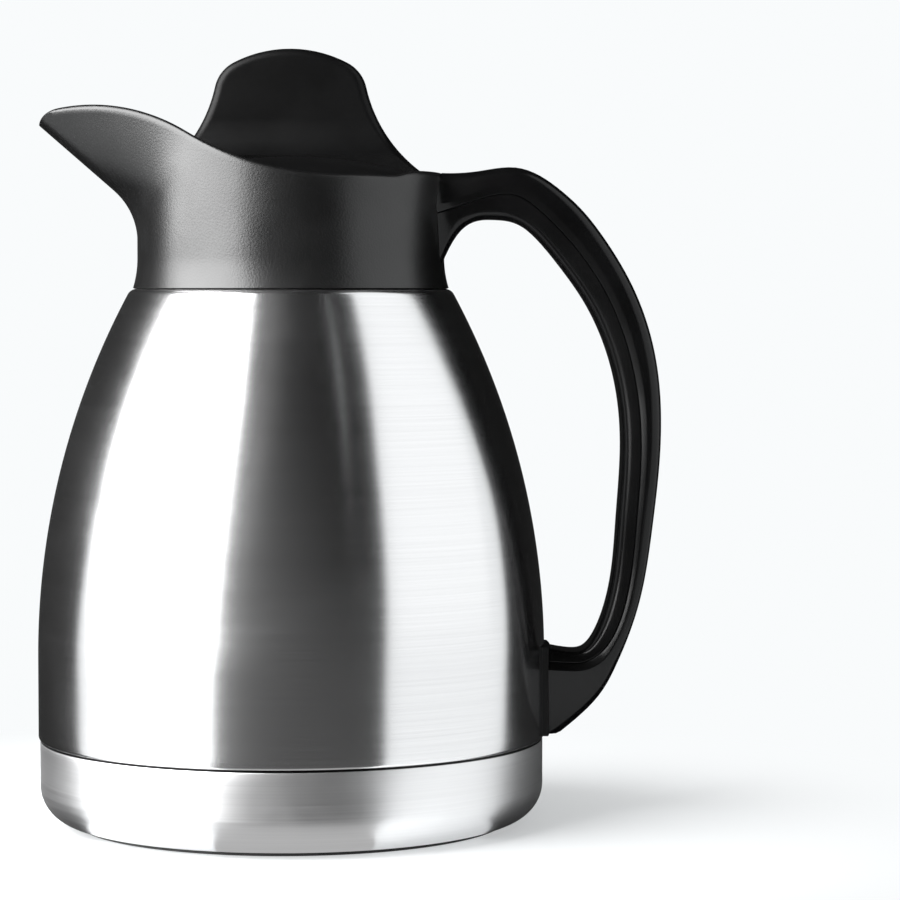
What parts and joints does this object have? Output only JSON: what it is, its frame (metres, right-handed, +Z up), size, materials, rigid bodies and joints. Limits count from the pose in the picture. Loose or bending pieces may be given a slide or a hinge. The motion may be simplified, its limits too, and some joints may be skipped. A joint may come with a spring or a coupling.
{
  "type": "vacuum jug",
  "caption": "Double-walled steel vacuum jug with a black plastic beaked collar, a loop handle and a screw stopper with an upright wing grip.",
  "frame": {"origin": "on the jug's axis, at the surface that it stands on", "axes": "+Z up along the body's axis, -X out through the beak, +X out through the handle, +Y away from the picture's camera"},
  "size_m": [0.1823, 0.1484, 0.2262],
  "materials": {
    "brushed_steel": "brushed round the axis",
    "satin_steel": "matt",
    "flask_steel": "electropolished",
    "black_plastic": "fine texture",
    "handle_plastic": "satin",
    "lid_plastic": "satin",
    "ring_plastic": "moulded",
    "plug_plastic": "moulded",
    "cover_plastic": "moulded",
    "pad_rubber": "matt",
    "foot_rubber": "matt",
    "silicone": "matt, milky",
    "foam": "fine cells",
    "getter_metal": "sintered",
    "seal_metal": "matt",
    "fastener_steel": "plated"
  },
  "bodies": {
    "jug": {"outer_shell": "brushed_steel", "base_cup": "satin_steel", "inner_flask": "flask_steel", "getter": "getter_metal", "vacuum_seal": "seal_metal", "base_cover": "cover_plastic", "foot_ring": "foot_rubber", "neck_gasket": "silicone", "spout_collar": "black_plastic", "neck_ring": "ring_plastic", "neck_oring": "silicone", "handle_spine": "handle_plastic", "handle_liner": "handle_plastic", "foot_pad": "pad_rubber", "handle_bracket": "fastener_steel", "foot_screw": "fastener_steel", "collar_screws": "fastener_steel"},
    "stopper_seal": {"stopper_gasket": "silicone"},
    "stopper": {"lid_cap": "lid_plastic", "stopper_plug": "plug_plastic", "stopper_foam": "foam", "seal_retainer": "plug_plastic", "stopper_screw": "fastener_steel"}
  },
  "joints": [
    {"name": "stopper_rise", "type": "slide", "parent": "jug", "child": "stopper_seal", "axis": [0, 0, 1], "range_m": [0, 0.015]},
    {"name": "stopper_turn", "type": "hinge", "parent": "stopper_seal", "child": "stopper", "pos_m": [0, 0, 0.185], "axis": [0, 0, 1], "range_deg": [0, 450]}
  ],
  "couplings": [
    {"joint": "stopper_rise", "follows": "stopper_turn", "m_per_rad": 0.0019099}
  ]
}
